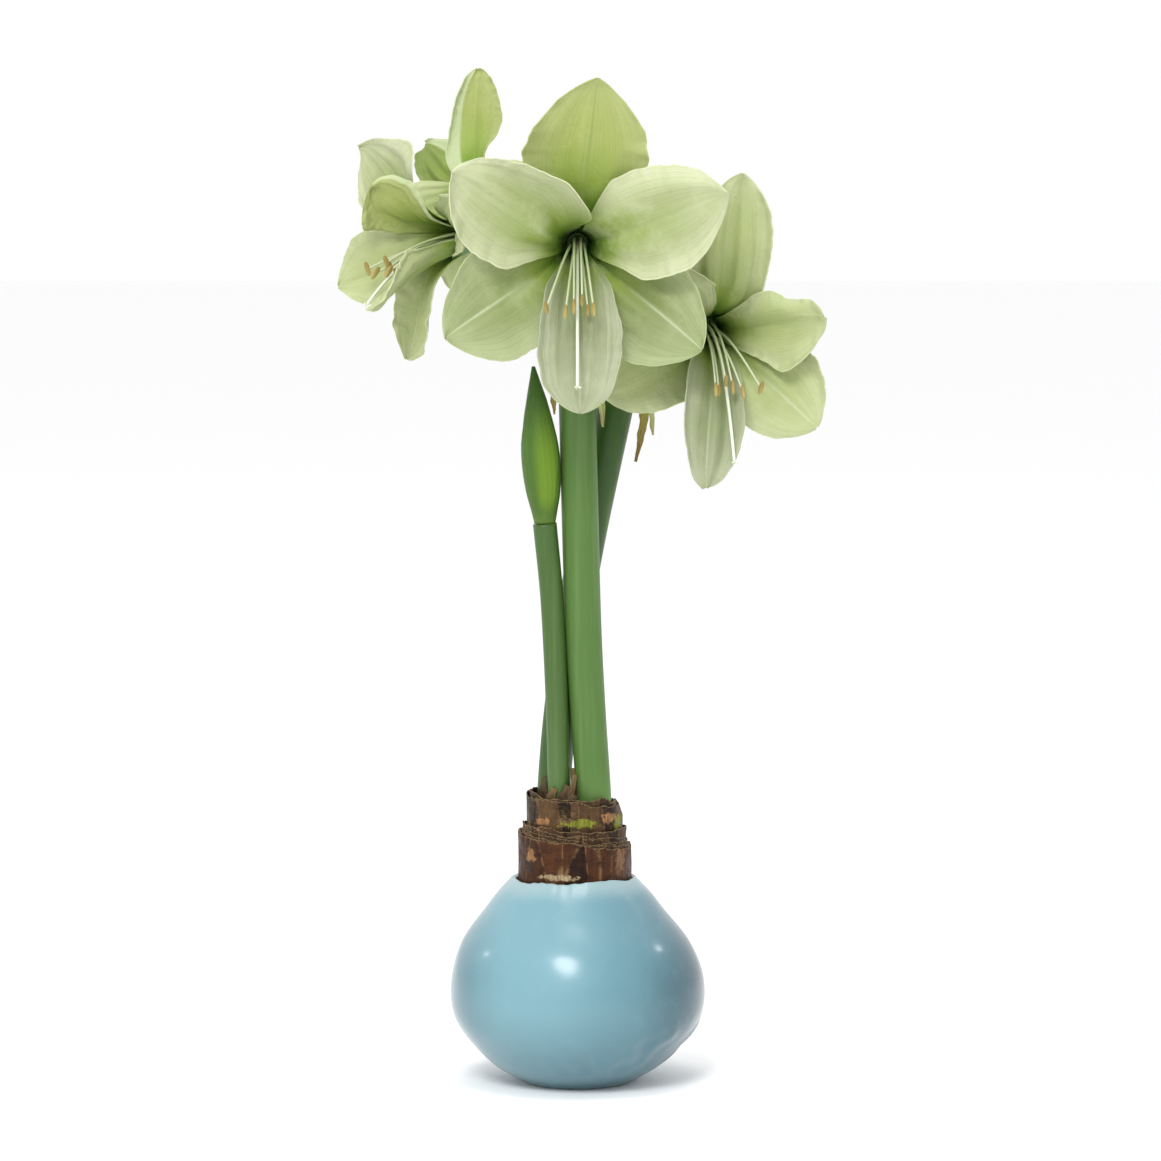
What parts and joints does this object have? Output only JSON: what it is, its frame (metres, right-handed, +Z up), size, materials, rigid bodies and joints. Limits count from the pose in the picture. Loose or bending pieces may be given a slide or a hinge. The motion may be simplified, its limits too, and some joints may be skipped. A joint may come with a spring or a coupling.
{
  "type": "waxed amaryllis bulb",
  "caption": "Flowering amaryllis bulb in a flat-footed wax coat: papery neck, smooth leafless scapes, a closed bud and large open trumpet flowers with long drooping stamens",
  "frame": {"origin": "middle of the flat foot of the wax coat, on the surface it stands on", "axes": "+Z up the plant, -Y the side the front bloom faces, +X to the viewer's right"},
  "size_m": [0.21, 0.1693, 0.4386],
  "materials": {
    "wax": "satin",
    "bulb_skin": "matte",
    "tunic_paper": "matte",
    "dry_brown": "matte",
    "scape_green": "satin",
    "bud_green": "satin",
    "tepal_lime": "satin",
    "pollen_tan": "matte"
  },
  "bodies": {
    "root": {"bud": "bud_green", "bulb": "bulb_skin", "front_pistil": "pollen_tan", "front_stalk": "scape_green", "front_stamens": "pollen_tan", "front_tepal_bottom": "tepal_lime", "front_tepal_lower_left": "tepal_lime", "front_tepal_lower_right": "tepal_lime", "front_tepal_top": "tepal_lime", "front_tepal_upper_left": "tepal_lime", "front_tepal_upper_right": "tepal_lime", "left_pistil": "pollen_tan", "left_stalk": "scape_green", "left_stamens": "pollen_tan", "left_tepal_bottom": "tepal_lime", "left_tepal_lower_left": "tepal_lime", "left_tepal_lower_right": "tepal_lime", "left_tepal_top": "tepal_lime", "left_tepal_upper_left": "tepal_lime", "left_tepal_upper_right": "tepal_lime", "right_pistil": "pollen_tan", "right_stalk": "scape_green", "right_stamens": "pollen_tan", "right_tepal_bottom": "tepal_lime", "right_tepal_lower_left": "tepal_lime", "right_tepal_lower_right": "tepal_lime", "right_tepal_top": "tepal_lime", "right_tepal_upper_left": "tepal_lime", "right_tepal_upper_right": "tepal_lime", "scale_left": "dry_brown", "scale_middle": "dry_brown", "scape_back": "scape_green", "scape_bud": "scape_green", "scape_front": "scape_green", "tunic_fourth": "tunic_paper", "tunic_inner": "tunic_paper", "tunic_middle": "tunic_paper", "tunic_outer": "tunic_paper", "tunic_second": "tunic_paper", "upper_pistil": "pollen_tan", "upper_stalk": "scape_green", "upper_stamens": "pollen_tan", "upper_tepal_bottom": "tepal_lime", "upper_tepal_lower_left": "tepal_lime", "upper_tepal_lower_right": "tepal_lime", "upper_tepal_top": "tepal_lime", "upper_tepal_upper_left": "tepal_lime", "upper_tepal_upper_right": "tepal_lime", "valve_back_left": "dry_brown", "valve_back_right": "dry_brown", "valve_front_left": "dry_brown", "valve_front_right": "dry_brown", "wax_coat": "wax"}
  },
  "joints": []
}
